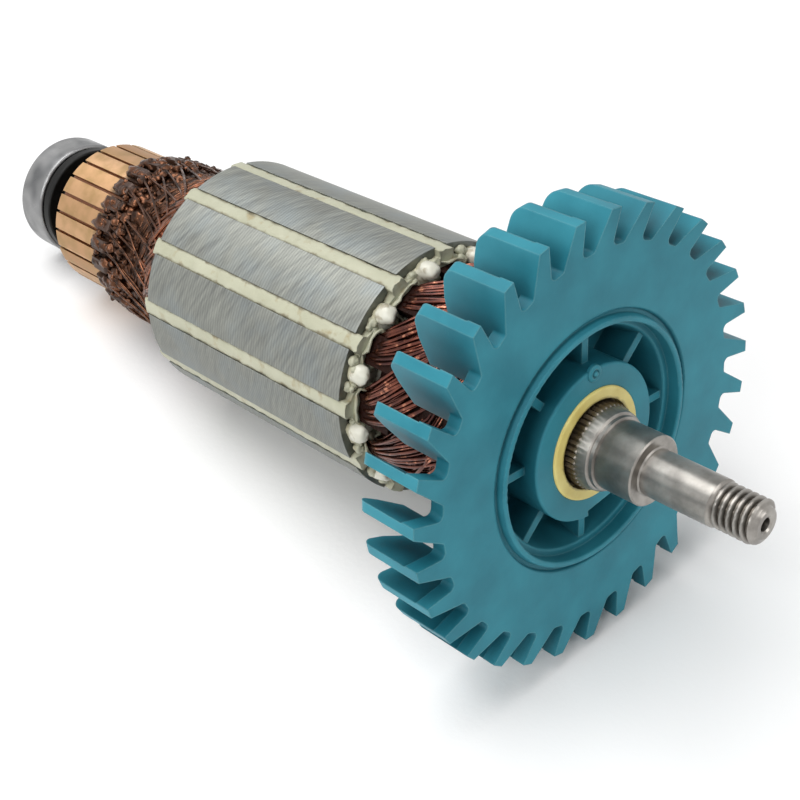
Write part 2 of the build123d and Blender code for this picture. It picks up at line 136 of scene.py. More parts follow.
def linear(code):
    """Linear colour with alpha from an sRGB hex value."""
    parts = [int(code[i:i + 2], 16) / 255 for i in (1, 3, 5)]
    return [c / 12.92 if c <= 0.04045 else ((c + 0.055) / 1.055) ** 2.4 for c in parts] + [1.0]


class Nodes:
    """A tree of nodes, of a material or of the world."""

    def __init__(self, tree):
        self.tree = tree

    def feed(self, node, inputs):
        """Sets inputs of a node by name or number, each to a value, a node or an output."""
        usable = [socket for socket in node.inputs if socket.enabled]
        for key, value in inputs.items():
            socket = usable[key] if isinstance(key, int) else next(s for s in usable if s.name == key)
            if isinstance(value, bpy.types.Node):
                value = next(output for output in value.outputs if output.enabled)
            if isinstance(value, bpy.types.NodeSocket):
                self.tree.links.new(value, socket)
            else:
                socket.default_value = value

    def add(self, kind, inputs=None, **settings):
        """Adds a node with its links and settings."""
        node = self.tree.nodes.new("ShaderNode" + kind)
        for name, value in settings.items():
            setattr(node, name, value)
        self.feed(node, inputs or {})
        return node


# %% [markdown]
# Many patterns follow the shaft: a lathe leaves rings, sheets are stacked along it, bars lie round
# it. So each finish starts with the place on the bench in millimetres, the distance from the shaft's
# axis, and the angle round it. Its shader starts with plain values, typical of the material, and the
# patterns then take the place of some. Three things come back in nearly every finish: one tone that
# goes over into another, clouds of the one over the other, and a pattern that is raised a little.

# %% Finishes


class Finish(Nodes):
    """A real material: its tree of nodes, its shader, and the places of the bench."""

    def __init__(self, name, colour, metallic, roughness):
        self.material = bpy.data.materials.new(name)
        self.material.use_nodes = True
        super().__init__(self.material.node_tree)
        self.shader = self.tree.nodes["Principled BSDF"]
        plain = {"Base Color": linear(colour), "Metallic": metallic, "Roughness": roughness}
        self.feed(self.shader, plain)
        inverse = bench_turn.transposed()
        self.place = self.add("Mapping", {
            "Vector": self.add("TexCoord").outputs["Object"],
            "Location": -(inverse @ shaft_zero) / mm,
            "Rotation": inverse.to_euler(),
            "Scale": (1 / mm, 1 / mm, 1 / mm),
        })
        self.x, y, z = self.add("SeparateXYZ", {"Vector": self.place}).outputs
        self.angle = self.add("Math", {0: z, 1: y}, operation="ARCTAN2")
        flat = self.add("CombineXYZ", {"Y": y, "Z": z})
        self.radius = self.add("VectorMath", {0: flat}, operation="LENGTH")

    def tint(self, under, over, value, start, end, first=0.0, last=1.0):
        """Goes from one tone to another as a value goes from start to end.

        first and last are the shares of the other tone there. Returns the share and the colour.
        """
        tones = [linear(tone) if isinstance(tone, str) else tone for tone in (under, over)]
        share = self.add("MapRange", {
            "Value": value, "From Min": start, "From Max": end, "To Min": first, "To Max": last,
        })
        colour = self.add("Mix", {"Factor": share, "A": tones[0], "B": tones[1]}, data_type="RGBA")
        return share, colour

    def clouds(self, under, over, width, detail, low=0.0, high=1.0, most=1.0):
        """Clouds of one tone over another, width mm wide. Returns their noise and their colour.

        The upper tone starts where the noise is low, and covers most where it is high.
        """
        spots = self.add("TexNoise", {"Vector": self.place, "Scale": 1 / width, "Detail": detail})
        return spots, self.tint(under, over, spots, low, high, last=most)[1]

    def relief(self, pattern, depth, edge=0.0):
        """Raises a pattern by a depth in mm, on edges rounded by edge mm. Returns the round edges."""
        rounded = self.add("Bevel", {"Radius": edge * mm}, samples=4) if edge else None
        raised = self.add("Bump", {"Height": pattern, "Distance": depth * mm})
        if rounded:
            self.feed(raised, {"Normal": rounded})
        self.feed(self.shader, {"Normal": raised})
        return rounded


def wear(finish, *names):
    """Gives solid pieces of the frame a finish."""
    for name in names:
        nodes[name].data.materials.clear()
        nodes[name].data.materials.append(finish.material)
    print(finish.material.name, "on", len(names), "solid pieces")


# %% [markdown]
# A lathe's marks are tiny grooves round the work. They spread a reflection along the shaft and keep
# it narrow across, which makes the long bright line of every turned bar. The shader calls this
# anisotropy, and it needs the direction along the shaft on the surface: two cross products give it.

# %% Turned on a lathe
wave_period = math.pi / 10


def turned_on_lathe(finish, spread):
    """Spreads a metal's reflections along the shaft. spread is between 0 and 1."""
    surface = finish.add("NewGeometry").outputs["Normal"]
    axis = tuple(shaft_way)
    round_it = finish.add("VectorMath", {0: axis, 1: surface}, operation="CROSS_PRODUCT")
    along_it = finish.add("VectorMath", {0: round_it, 1: surface}, operation="CROSS_PRODUCT")
    finish.feed(finish.shader, {"Anisotropic": spread, "Tangent": along_it})


# %% [markdown]
# The fan is glass-filled nylon, coloured teal in the mass and injection moulded. The mould was
# slightly matt, so the skin scatters light and reflects little. Flow leaves faint clouds some
# millimetres wide, and the mould's grain is drawn a third of a millimetre wide, coarser than it is.

# %% Fan: moulded nylon
mould_grain = 0.35
nylon = Finish("moulded_teal_nylon", "#0d6b7e", metallic=0.0, roughness=0.45)
flow, teal = nylon.clouds("#267585", "#358898", width=8.0, detail=4.0, low=0.35, high=0.65)
sheen = nylon.add("MapRange", {
    "Value": flow, "From Min": 0.3, "From Max": 0.7, "To Min": 0.42, "To Max": 0.56,
})
grain = nylon.add("TexNoise", {"Vector": nylon.place, "Scale": 1 / mould_grain})
edge = nylon.relief(grain, depth=0.01, edge=0.3)

# %% [markdown]
# Every edge of the fan has the small radius of the mould, which a bevel node shows. Where the
# bevelled normal leaves the true one there is an edge, painted pale as a highlight, with a little
# wear. Painted shade darkens the hollows between the blades, which ambient occlusion finds.

# %% Fan: painted shade in the hollows, and painted highlights on the edges
hollow_reach = 7.0
openness = nylon.add("AmbientOcclusion", {"Distance": hollow_reach * mm}, samples=6).outputs["AO"]
# Painted shade: the teal darkens in the hollows that ambient occlusion finds.
_, shaded_teal = nylon.tint(teal, "#0c4553", openness, 0.35, 0.9, first=0.5, last=0.0)
true_normal = nylon.add("NewGeometry").outputs["Normal"]
flatness = nylon.add("VectorMath", {0: edge, 1: true_normal}, operation="DOT_PRODUCT")
on_edge = nylon.add("MapRange", {
    "Value": flatness, "From Min": 0.98, "From Max": 0.8, "To Min": 0.0, "To Max": 0.45,
})
# Painted highlight, with a little wear: edges that are open to the light turn pale.
edge_highlight = nylon.add("Math", {0: on_edge, 1: openness}, operation="MULTIPLY")
highlighted_teal = nylon.add("Mix", {
    "Factor": edge_highlight, "A": shaded_teal, "B": linear("#84bcc2"),
}, data_type="RGBA")
nylon.feed(nylon.shader, {
    "Base Color": highlighted_teal, "Roughness": sheen, "IOR": 1.53, "Specular IOR Level": 0.2,
})
wear(nylon, "fan")

# %% [markdown]
# The core is a stack of silicon-steel sheets, half a millimetre each. After winding it is turned
# to size, so every tooth shows the sheets' edges as fine lines, crossed by long slanting streaks
# where the tool fed along. Blender's wave repeats every tenth of pi at scale 1, so dividing that by
# the sheet's thickness gives one line a sheet.

# %% Core: sheets and streaks
sheet_thickness = 0.5
streak_slant = 0.45
streak_stretch = 0.15
streak_width = 0.625
laminations = Finish("turned_silicon_steel", "#9fa19d", metallic=1.0, roughness=0.5)
sheets = laminations.add("TexWave", {
    "Vector": laminations.place, "Scale": wave_period / sheet_thickness, "Distortion": 0.5,
}, bands_direction="X")
arc = laminations.add("Math", {0: laminations.angle, 1: core_radius}, operation="MULTIPLY")
slanted = laminations.add("Math", {
    0: arc, 1: streak_slant, 2: laminations.x,
}, operation="MULTIPLY_ADD")
along_arc = laminations.add("Math", {0: arc, 1: streak_stretch}, operation="MULTIPLY")
streak_place = laminations.add("CombineXYZ", {"X": slanted, "Y": along_arc})
streaks = laminations.add("TexNoise", {
    "Vector": streak_place, "Scale": 1 / streak_width, "Detail": 3.0,
})

# %% [markdown]
# Turned steel is a soft grey mirror. Oxide and old oil give it a faint cloud of blue, the seams
# between the sheets are darker, and the streaks are a little rougher than the metal beside them.

# %% Core: turned steel
_, grey = laminations.tint("#787a76", "#94968f", streaks, 0.3, 0.7)
_, tinted = laminations.clouds(grey, "#858f94", width=6.0, detail=3.0, low=0.45, high=0.75, most=0.5)
_, lined = laminations.tint(tinted, "#50524f", sheets, 0.0, 0.4, first=0.28, last=0.0)
worn = laminations.add("MapRange", {
    "Value": streaks, "From Min": 0.3, "From Max": 0.7, "To Min": 0.42, "To Max": 0.56,
})
laminations.relief(sheets, depth=0.011, edge=0.15)
laminations.feed(laminations.shader, {"Base Color": lined, "Roughness": worn})
turned_on_lathe(laminations, 0.4)
wear(laminations, "core_stack")

# %% [markdown]
# Each slot is closed by a cream strip of polyester glass, and lined with a paper of the same kind.
# Impregnating resin made it half matt and waxy, and soaked in here and there as brown blots.

# %% Slots: polyester glass
strip = Finish("polyester_glass_strip", "#c4c4a8", metallic=0.0, roughness=0.45)
_, cream = strip.clouds("#a1a188", "#c0c0aa", width=5.0, detail=2.0)
blots, blotted = strip.clouds(cream, "#99875e", width=1.6, detail=5.0, low=0.56, high=0.74, most=0.7)
strip.relief(blots, depth=0.15, edge=0.2)

# %% [markdown]
# The resin also crept along both edges of the strip as brown lines. How far a point is from the
# strip's middle comes from the angle. Outside the core no steel is beside the strip, so it keeps
# its cream there.

# %% Slots: where the resin crept
strip_half_width = 1.08
creep = 1.1
half_slot = math.radians(slot_step) / 2
half_core = (core_end - core_start) / 2
from_slot = strip.add("Math", {
    0: strip.angle, 1: math.radians(slot_angles[0]),
}, operation="SUBTRACT")
off_middle = strip.add("Math", {0: from_slot, 1: half_slot, 2: -half_slot}, operation="WRAP")
sideways = strip.add("Math", {0: off_middle, 1: strip.radius}, operation="MULTIPLY")
aside = strip.add("Math", {0: sideways}, operation="ABSOLUTE")
ragged = strip.add("Math", {0: blots, 1: creep, 2: aside}, operation="MULTIPLY_ADD")
crept = strip.add("MapRange", {
    "Value": ragged, "From Min": strip_half_width + 0.2, "From Max": strip_half_width + 0.5,
    "To Max": 0.8,
})
from_middle = strip.add("Math", {0: strip.x, 1: core_start + half_core}, operation="SUBTRACT")
along_core = strip.add("Math", {0: from_middle}, operation="ABSOLUTE")
beside_steel = strip.add("MapRange", {
    "Value": along_core, "From Min": half_core, "From Max": half_core + 0.4,
    "To Min": 1.0, "To Max": 0.2,
})
edging = strip.add("Math", {0: crept, 1: beside_steel}, operation="MULTIPLY")
edged = strip.add("Mix", {
    "Factor": edging, "A": blotted, "B": linear("#6b6450"),
}, data_type="RGBA")
strip.feed(strip.shader, {"Base Color": edged, "IOR": 1.54})

# %% [markdown]
# The end insulators are moulded in white nylon. Their rounded noses are white and glossy, with brown
# spots that grow fewer away from the core. The plate behind them was soaked in resin and is beige,
# with brown stains.

# %% End insulators: white nylon
white_nylon = Finish("white_nylon", "#d6d3c4", metallic=0.0, roughness=0.3)
blots, beige = white_nylon.clouds("#9b967a", "#c8c4aa", width=1.3, detail=4.0)
toward_nose = white_nylon.add("MapRange", {
    "Value": white_nylon.x, "From Min": core_end, "From Max": core_end + 2.6,
    "To Min": 0.42, "To Max": 0.62,
})
beyond = white_nylon.add("Math", {0: blots, 1: toward_nose}, operation="SUBTRACT")
_, brown_towards_base = white_nylon.tint("#d3d1c2", "#887957", beyond, 0.0, 0.1, last=0.55)
_, plate_or_nose = white_nylon.tint(
    beige, brown_towards_base, white_nylon.x, start=core_end + 0.55, end=core_end + 0.95)
white_nylon.relief(blots, depth=0.1, edge=0.3)
white_nylon.feed(white_nylon.shader, {"Base Color": plate_or_nose, "IOR": 1.53})
wear(white_nylon, "rear_end_insulator")

# %% [markdown]
# The wire is copper under a clear amber enamel. The metal shines through, so a wire is a deep red
# brown with thin orange highlights. Small bright copper spots are painted on as glinting highlights.

# %% Winding: enamelled copper
enamel = Finish("enamelled_copper_wire", "#7c3a26", metallic=0.9, roughness=0.23)
_, red_brown = enamel.clouds("#3f1a13", "#723c2a", width=2.2, detail=2.0, low=0.35, high=0.65)
# Painted highlights: sparse bright spots on the wires.
_, painted_glints = enamel.clouds(red_brown, "#c9886a", width=1.1, detail=2.0, low=0.6, high=0.7, most=0.75)
enamel.feed(enamel.shader, {"Base Color": painted_glints, "Coat Weight": 0.4, "Coat Roughness": 0.15})

# %% [markdown]
# Under the wires that show lies the mass of the winding. Hardly any light gets there, so its shade is
# painted into its colour: a rough brown that is nearly black.

# %% Winding: the mass, painted in shade
depths = Finish("winding_in_shade", "#1c0d09", metallic=0.0, roughness=0.6)
# Painted shade: the mass is coloured nearly black.
lumps, deep = depths.clouds("#0d0604", "#2c140d", width=0.6, detail=2.0)
depths.relief(lumps, depth=0.3)
depths.feed(depths.shader, {"Base Color": deep, "Specular IOR Level": 0.1})
wear(depths, "slot_coil_sides", "front_coil_head", "rear_coil_head")

# %% [markdown]
# At the commutator end the winding was dipped in varnish. It is darker, wetter and browner there,
# and only the turns close to the core keep the colour of copper.

# %% Winding: dipped in varnish
drip_width = 1.5
dipped_end = 40.5
clean_start = 47.5
varnished = Finish("varnished_copper_wire", "#3d2519", metallic=0.9, roughness=0.4)
drips = varnished.add("TexNoise", {
    "Vector": varnished.place, "Scale": 1 / drip_width, "Detail": 4.0,
})
dripping, brown = varnished.tint("#2b1a10", "#6b452f", drips, 0.38, 0.66)
near_core = varnished.add("MapRange", {
    "Value": varnished.x, "From Min": dipped_end, "From Max": clean_start,
})
copper_shows = varnished.add("Math", {0: near_core, 1: dripping}, operation="MULTIPLY")
fading = varnished.add("Mix", {
    "Factor": copper_shows, "A": brown, "B": linear("#a06248"),
}, data_type="RGBA")
runny = varnished.add("MapRange", {
    "Value": drips, "From Min": 0.4, "From Max": 0.6, "To Min": 0.45, "To Max": 0.2,
})
varnished.relief(drips, depth=0.15)
varnished.feed(varnished.shader, {
    "Base Color": fading, "Roughness": runny, "Coat Weight": 0.08, "Coat Roughness": 0.12,
})

# %% [markdown]
# A commutator bar is drawn copper, turned with its neighbours to one smooth, satin track. Each bar
# has a slightly different grain, so each has its own tone: white noise of the bar's number. The
# brushes smoked the track in places.

# %% Commutator: tones of the bars
bar_pitch = math.radians(bar_step)
first_gap = math.radians(bar_angles[0]) - bar_pitch / 2
copper = Finish("turned_copper", "#cfa277", metallic=1.0, roughness=0.42)
counted = copper.add("Math", {0: copper.angle, 1: first_gap}, operation="SUBTRACT")
bar_place = copper.add("Math", {0: counted, 1: bar_pitch}, operation="DIVIDE")
bar_number = copper.add("Math", {0: bar_place}, operation="FLOOR")
bar_tone = copper.add("TexWhiteNoise", {"W": bar_number}, noise_dimensions="1D")
track = copper.add("Mix", {
    "Factor": bar_tone, "A": linear("#a87e55"), "B": linear("#cba57f"),
}, data_type="RGBA")
_, smoked = copper.clouds(track, "#a08257", width=3.0, detail=3.0, low=0.42, high=0.66, most=0.75)

# %% [markdown]
# The hooks were fused over their wires, and varnish covers them and the track's last millimetre. The
# lathe's rings are drawn a third of a millimetre wide, coarser than the real feed, so that they show.

# %% Commutator: spilt varnish and turned copper
hook_start = 27.0
spill_width = 1.2
spill_reach = 3.0
turning_pitch = 0.35
spill = copper.add("TexNoise", {"Vector": copper.place, "Scale": 1 / spill_width, "Detail": 3.0})
spilt_x = copper.add("Math", {0: spill, 1: spill_reach, 2: copper.x}, operation="MULTIPLY_ADD")
at_hook, covered = copper.tint(
    smoked, "#3a2417", spilt_x, start=hook_start + 0.2, end=hook_start + 2.0)
bare = copper.add("MapRange", {"Value": at_hook, "To Min": 1.0, "To Max": 0.3})
turning = copper.add("TexWave", {
    "Vector": copper.place, "Scale": wave_period / turning_pitch, "Distortion": 1.5,
}, bands_direction="X")
copper.relief(turning, depth=0.006, edge=0.12)
copper.feed(copper.shader, {"Base Color": covered, "Metallic": bare})
turned_on_lathe(copper, 0.5)
wear(copper, *[name for name in nodes if name.startswith("commutator_bar")])

# %% [markdown]
# The moulding between the bars is brown phenolic resin, matt where it was undercut.

# %% Commutator: phenolic
phenolic = Finish("brown_phenolic", "#5e3518", metallic=0.0, roughness=0.55)
filler, flecked = phenolic.clouds("#522c15", "#8a542a", width=0.5, detail=3.0)
phenolic.relief(filler, depth=0.05)
phenolic.feed(phenolic.shader, {"Base Color": flecked, "IOR": 1.6})
wear(phenolic, "commutator_moulding")

# %% [markdown]
# The washer beside the bearing is black nylon, and the bearing's seals are black rubber, which is
# duller. Both reflect little, and carbon dust makes them unevenly grey.

# %% Washer and seals: black nylon and rubber
for name, colour, roughness, pieces in (
    ("black_nylon", "#10100f", 0.4, ["insulating_washer"]),
    ("black_seal_rubber", "#141414", 0.6, ["bearing_seal_inboard", "bearing_seal_outboard"]),
):
    black = Finish(name, colour, metallic=0.0, roughness=roughness)
    _, dusty = black.clouds(colour, "#2b2823", width=1.5, detail=5.0, low=0.5, high=0.8, most=0.3)
    edge = black.add("Bevel", {"Radius": 0.3 * mm}, samples=4)
    black.feed(black.shader, {
        "Base Color": dusty, "Normal": edge, "IOR": 1.52, "Specular IOR Level": 0.15,
    })
    wear(black, *pieces)

# %% [markdown]
# The sleeve that keeps the shaft apart from the core is cast yellow resin, half matt and faintly
# marbled. Its end shows as a ring in the fan's hub. Oil and steel dust from the pressed knurl stain
# its inner rim dark brown.

# %% Sleeve: yellow resin
knurl_top = 5.6
stain_reach = 0.6
resin = Finish("yellow_resin", "#c9b96a", metallic=0.0, roughness=0.5)
marble, marbled = resin.clouds("#e9dd8e", "#c8b259", width=2.5, detail=4.0)
grit = resin.add("TexNoise", {"Vector": resin.place, "Scale": 1.0, "Detail": 3.0})
from_knurl = resin.add("Math", {0: grit, 1: stain_reach, 2: resin.radius}, operation="MULTIPLY_ADD")
_, stained = resin.tint(
    marbled, "#4e3a1c", from_knurl, start=knurl_top + 0.45, end=knurl_top + 0.95,
    first=1.0, last=0.0)
resin.relief(marble, depth=0.1, edge=0.25)
resin.feed(resin.shader, {"Base Color": stained, "IOR": 1.56})
wear(resin, "insulating_sleeve")

# %% [markdown]
# The bearing's rings are ground steel: grey, with a soft sheen. Finger marks and oil make its gloss
# uneven, and clouds of darker and lighter grey, some millimetres wide, are a painted reflection.

# %% Bearing rings: ground steel
smear_width = 1.5
ring_corner = 0.35
ground = Finish("ground_bearing_steel", "#7f7f80", metallic=1.0, roughness=0.32)
smear = ground.add("TexNoise", {"Vector": ground.place, "Scale": 1 / smear_width, "Detail": 3.0})
smeared = ground.add("MapRange", {
    "Value": smear, "From Min": 0.3, "From Max": 0.7, "To Min": 0.26, "To Max": 0.4,
})
# Painted reflection: mottled light and dark bands on the rings.
_, painted_reflection_bands = ground.clouds("#6c6d6e", "#919191", width=4.0, detail=1.0, low=0.35, high=0.65)
edge = ground.add("Bevel", {"Radius": ring_corner * mm}, samples=4)
ground.feed(ground.shader, {"Base Color": painted_reflection_bands, "Roughness": smeared, "Normal": edge})
turned_on_lathe(ground, 0.6)
wear(ground, "bearing_outer_ring", "bearing_inner_ring")

# %% [markdown]
# Between the rings run balls of polished steel, nearly mirrors under a film of grease. The cage that
# spaces them is pale moulded nylon, which is half matt.

# %% Bearing balls and cage: polished steel and nylon
polished = Finish("polished_ball_steel", "#c4c5c7", metallic=1.0, roughness=0.08)
film = polished.add("TexNoise", {"Vector": polished.place, "Scale": 1.0})
filmed = polished.add("MapRange", {"Value": film, "To Min": 0.05, "To Max": 0.14})
polished.feed(polished.shader, {"Roughness": filmed})
wear(polished, "bearing_balls")

cage_nylon = Finish("cage_nylon", "#c9c2a8", metallic=0.0, roughness=0.45)
pores = cage_nylon.add("TexNoise", {"Vector": cage_nylon.place, "Scale": 2.0})
cage_nylon.relief(pores, depth=0.03)
cage_nylon.feed(cage_nylon.shader, {"IOR": 1.53})
wear(cage_nylon, "bearing_cage")

# %% [markdown]
# Every piece that is made here is written on the bench in millimetres and then carried to the table.
# A piece rides on the body of the solids that it belongs to, so that it turns with them. All of them
# are rounds of points in rows, so one helper makes the faces of every piece.

# %% From the bench to the table


def skin_over(first, rows, count, faces):
    """Adds the faces between rows of points. A row is a closed round of count points."""
    for row in range(rows):
        for k in range(count):
            a = first + row * count + k
            b = first + row * count + (k + 1) % count
            faces.append((a, b, b + count, a + count))


def settle(name, points, faces, finish, sharp=None):
    """Makes a mesh piece from bench points, and lets it ride. sharp is an edge angle in degrees."""
    mesh = bpy.data.meshes.new(name)
    mesh.from_pydata([bench @ point for point in points], [], faces)
    mesh.shade_smooth()
    if sharp:
        mesh.set_sharp_from_angle(angle=math.radians(sharp))
    mesh.materials.append(finish.material)
    piece = bpy.data.objects.new(name, mesh)
    bpy.context.collection.objects.link(piece)
    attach(piece, "armature")
    print(name, len(mesh.polygons), "faces")
    return piece


# %% [markdown]
# The shaft is one turned bar, so it is made as a lathe makes it: rings along the shaft, joined by
# faces. A ring has one radius, or a radius that changes with the angle. That is enough for the two
# parts that a plain turned solid lacks, the knurl's ridges and the turns of the thread.

# %% A lathe


def lathe(rings, steps):
    """Points and faces of a turned body from (x, radius) rings. A radius may depend on the angle."""
    points, faces = [], []
    for x, radius in rings:
        for i in range(steps):
            angle = 360 * i / steps
            points.append(polar(x, radius(angle) if callable(radius) else radius, angle))
    skin_over(0, len(rings) - 1, steps, faces)
    return points, faces


# %% Shaft: radii
journal = 3.5
collar = 4.2
body_radius = 5.0
shoulder = 5.4
shoulder_low = 5.1
drive_seat = 4.5
pinion_seat = 3.0
thread_top = 2.85
tip_radius = 1.75
centre_hole = 0.85
corner = 0.18

# %% Shaft: stations
bearing_end = 6.8
washer_end = 14.4
knurl_start = 115.9
knurl_end = 120.5
shoulder_end = 122.0
drive_start = 122.6
drive_end = 128.1
pinion_end = 137.8
shaft_end = 144.0

# %% [markdown]
# A knurl is rolled: its ridges have round tops and round feet, as a cosine has. A thread's flanks
# are straight, with a flat crest and a flat root, and the depth fades in and out at its ends.

# %% Shaft: the knurl's and the thread's rings
knurl_depth = 0.3
knurl_ridges = 44
thread_pitch = 0.95
thread_depth = 0.5
thread_runout = 0.6
crest_width = 0.25
flank_width = 0.5
tip_length = 0.9
tip_curve = 1.8


def knurl_ring(angle):
    """Radius of the knurl: rounded ridges along the shaft."""
    wave = math.cos(math.radians(angle) * knurl_ridges)
    return knurl_top - knurl_depth * (0.5 - 0.5 * wave)


def thread_ring(x):
    """Radius round one section of the thread, as a function of the angle."""
    fade = min((x - pinion_end) / thread_runout, (shaft_end - x) / thread_runout)
    depth = thread_depth * max(0.0, min(1.0, fade))
    taper = (max(0.0, x - shaft_end + tip_length) / tip_length) ** tip_curve

    def radius(angle):
        # The wave is 0 in the middle of a crest and 1 in the middle of a root.
        wave = abs(2 * ((x / thread_pitch - angle / 360) % 1.0) - 1)
        flank = min(1.0, max(0.0, (wave - crest_width) / flank_width))
        return thread_top - (thread_top - tip_radius) * taper - depth * flank
    return radius


# %% Shaft: all rings from end to end
rings = [
    # Journal in the rear bearing, and the seat of the washer.
    (0.0, 0.0), (0.0, journal - 0.3), (0.3, journal), (bearing_end, journal),
    (bearing_end, collar), (washer_end, collar),
    # Body inside the sleeve, and the knurl.
    (washer_end, body_radius), (knurl_start - 0.4, body_radius),
    (knurl_start, knurl_ring), (knurl_end - corner, knurl_ring),
    # Shoulder, and a shallow groove after it.
    (knurl_end, shoulder), (shoulder_end - corner, shoulder_low + 0.05),
    (shoulder_end, shoulder_low - 0.1), (shoulder_end + 0.05, drive_seat + 0.35),
    (drive_start - 0.1, drive_seat + 0.3), (drive_start, drive_seat - 0.05),
    # Seats of the drive bearing and of the pinion.
    (drive_start + 0.15, drive_seat), (drive_end - corner, drive_seat),
    (drive_end, drive_seat - corner), (drive_end, pinion_seat + corner),
    (drive_end + corner, pinion_seat), (pinion_end - 0.05, pinion_seat),
    (pinion_end + 0.05, thread_top),
]
thread_start = pinion_end + 0.1
thread_rows = 110
for i in range(thread_rows + 1):
    x = thread_start + (shaft_end - thread_start) * i / thread_rows
    rings.append((x, thread_ring(x)))
rings += [
    # The lathe centre's hole in the tip.
    (shaft_end, centre_hole + 0.25), (shaft_end - 0.2, centre_hole),
    (shaft_end - 1.6, centre_hole), (shaft_end - 2.2, 0.0),
]
print("the shaft has", len(rings), "rings")

# %% [markdown]
# Turned steel keeps the tool's rings, much finer than a pixel. They are drawn a fifth of a
# millimetre wide, and shallow. The steel is a warm grey, with blots of oil film.

# %% Shaft: tool marks and colour
ring_width = 0.2
steel = Finish("turned_steel", "#aaa6a0", metallic=1.0, roughness=0.28)
stretched = steel.add("Math", {0: steel.x, 1: ring_width}, operation="DIVIDE")
ring_place = steel.add("CombineXYZ", {"X": stretched})
tool_marks = steel.add("TexNoise", {"Vector": ring_place, "Scale": 1.0, "Detail": 3.0})
_, oil_filmed = steel.clouds("#837f7a", "#a29e98", width=2.0, detail=4.0, low=0.35, high=0.7)
gloss = steel.add("MapRange", {
    "Value": tool_marks, "From Min": 0.3, "From Max": 0.7, "To Min": 0.27, "To Max": 0.39,
})
steel.relief(tool_marks, depth=0.0025)

# %% [markdown]
# Oil stays where nothing wipes it, at the foot of the knurl beside the sleeve, and painted shade
# darkens the roots of the thread. The first is found by the station, the second by the distance from
# the axis.

# %% Shaft: oil at the sleeve, and painted shade in the thread
from_sleeve = steel.add("Math", {0: steel.x, 1: fan_face_x}, operation="SUBTRACT")
away = steel.add("Math", {0: from_sleeve}, operation="ABSOLUTE")
_, oiled = steel.tint(oil_filmed, "#4a3d28", away, 0.5, 1.5, first=0.85, last=0.0)
in_root = steel.add("MapRange", {
    "Value": steel.radius, "From Min": thread_top - 0.42, "From Max": thread_top - 0.12,
    "To Min": 0.8, "To Max": 0.0,
})
on_thread = steel.add("MapRange", {
    "Value": steel.x, "From Min": thread_start, "From Max": thread_start + 0.2,
})
before_tip = steel.add("MapRange", {
    "Value": steel.x, "From Min": shaft_end - tip_length, "From Max": shaft_end - 0.4,
    "To Min": 1.0, "To Max": 0.0,
})
threaded = steel.add("Math", {0: on_thread, 1: before_tip}, operation="MULTIPLY")
# Painted shade: the roots of the thread turn darker.
root_shade = steel.add("Math", {0: in_root, 1: threaded}, operation="MULTIPLY")
oil_and_root_shade = steel.add("Mix", {
    "Factor": root_shade, "A": oiled, "B": linear("#453f37"),
}, data_type="RGBA")
steel.feed(steel.shader, {"Base Color": oil_and_root_shade, "Roughness": gloss})
turned_on_lathe(steel, 0.8)

# %% Shaft: the piece
shaft_steps = 176
points, faces = lathe(rings, shaft_steps)
shaft = settle("turned_shaft", points, faces, steel, sharp=28)
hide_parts("shaft")

# %% [markdown]
# The nylon was shot into the mould at the hub's face. The gate leaves a small round stub there,
# which is a few rings round an axis of its own.

# %% Fan: gate stub
gate_place = polar(118.9, 9.9, 86.6)
gate_steps = 24
gate_profile = [
    (1.15, -0.3), (1.1, 0.15), (0.85, 0.3), (0.6, 0.28), (0.5, 0.1), (0.4, 0.12), (0.3, 0.45),
    (0.0, 0.55),
]
points, faces = [], []
for radius, height in gate_profile:
    for i in range(gate_steps):
        points.append(gate_place + polar(height, radius, 360 * i / gate_steps))
skin_over(0, len(gate_profile) - 1, gate_steps, faces)
settle("gate_stub", points, faces, nylon, sharp=40)

# %% [markdown]
# A winding is many turns of one wire. Two helpers are enough for all of them: one gives a path its
# round skin, and one reads a radius off a short table, for the outline of the coil head.

# %% Wires: skins and unevenness
wire_radius = 0.24
wire_sides = 6
dice = random.Random(7)


def wobble(seed, where):
    """Smooth unevenness between -1 and 1 along a wire, different for each seed."""
    return noise.noise(Vector((seed * 7.31, where * 3.0, seed * 1.7)))


def tube(path, radius, points, faces):
    """Adds the round skin of one wire to lists of points and faces."""
    side = Vector((0, 0, 1))
    first = len(points)
    for i, centre in enumerate(path):
        way = (path[min(i + 1, len(path) - 1)] - path[max(i - 1, 0)]).normalized()
        side = (side - way * side.dot(way)).normalized()
        other = way.cross(side)
        for k in range(wire_sides):
            turn = math.tau * k / wire_sides
            points.append(centre + (side * math.cos(turn) + other * math.sin(turn)) * radius)
    skin_over(first, len(path) - 1, wire_sides, faces)


def read_off(table, where):
    """Value at a place from a short table of (place, value) pairs, with straight lines between."""
    for (a, low), (b, high) in zip(table, table[1:]):
        if where <= b:
            return low + (high - low) * max(0.0, where - a) / (b - a)
    return table[-1][1]


# %% [markdown]
# Each bundle leaves its slot, runs slanting over the outside of the head to its end, turns in and
# crosses the end face like a chord, on its way to the slot opposite. All bundles lean the same way,
# so each covers the foot of the next, and dark valleys stay between them.

# %% Winding: the path of one wire
path_steps = 44
climb_share = 0.62
chord_start = 0.55
chord_turn = 75
path_stray = 0.3
radius_stray = 0.2
turn_stray = 1.2


